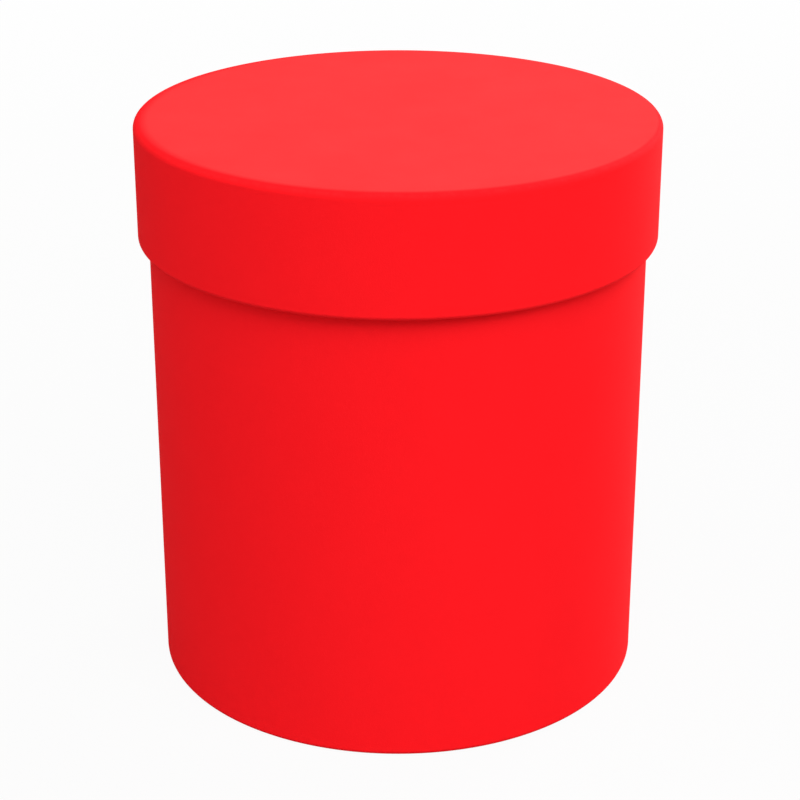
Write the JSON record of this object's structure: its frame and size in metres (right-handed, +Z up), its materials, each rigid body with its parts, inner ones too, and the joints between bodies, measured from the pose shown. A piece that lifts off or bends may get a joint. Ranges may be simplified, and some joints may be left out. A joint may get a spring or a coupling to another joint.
{
  "type": "round box",
  "caption": "Round rigid-board box covered in matt red paper, with a wide overhanging lid that lifts straight off and a softly rounded top edge.",
  "frame": {"origin": "middle of the foot, on the surface that the box stands on", "axes": "+Z up along the box's axis; -Y towards the viewer of the picture, with the papers' lap seams at the back on +Y; +X to the viewer's right"},
  "size_m": [0.1564, 0.1565, 0.175],
  "materials": {
    "red_paper": "matte",
    "lining_paper": "matte",
    "grey_board": "matte"
  },
  "bodies": {
    "base": {"base_wall_hoop": "grey_board", "base_floor_board": "grey_board", "base_wrap": "red_paper", "base_wall_lining": "lining_paper", "base_floor_lining": "lining_paper", "base_foot_paper": "red_paper"},
    "lid": {"lid_hoop": "grey_board", "lid_disc": "grey_board", "lid_top_cover": "red_paper", "lid_rim_wrap": "red_paper", "lid_top_lining": "lining_paper", "lid_rim_lining": "lining_paper"}
  },
  "joints": [
    {"name": "lid_lift", "type": "slide", "parent": "base", "child": "lid", "axis": [0, 0, 1], "range_m": [0, 0.1]}
  ]
}
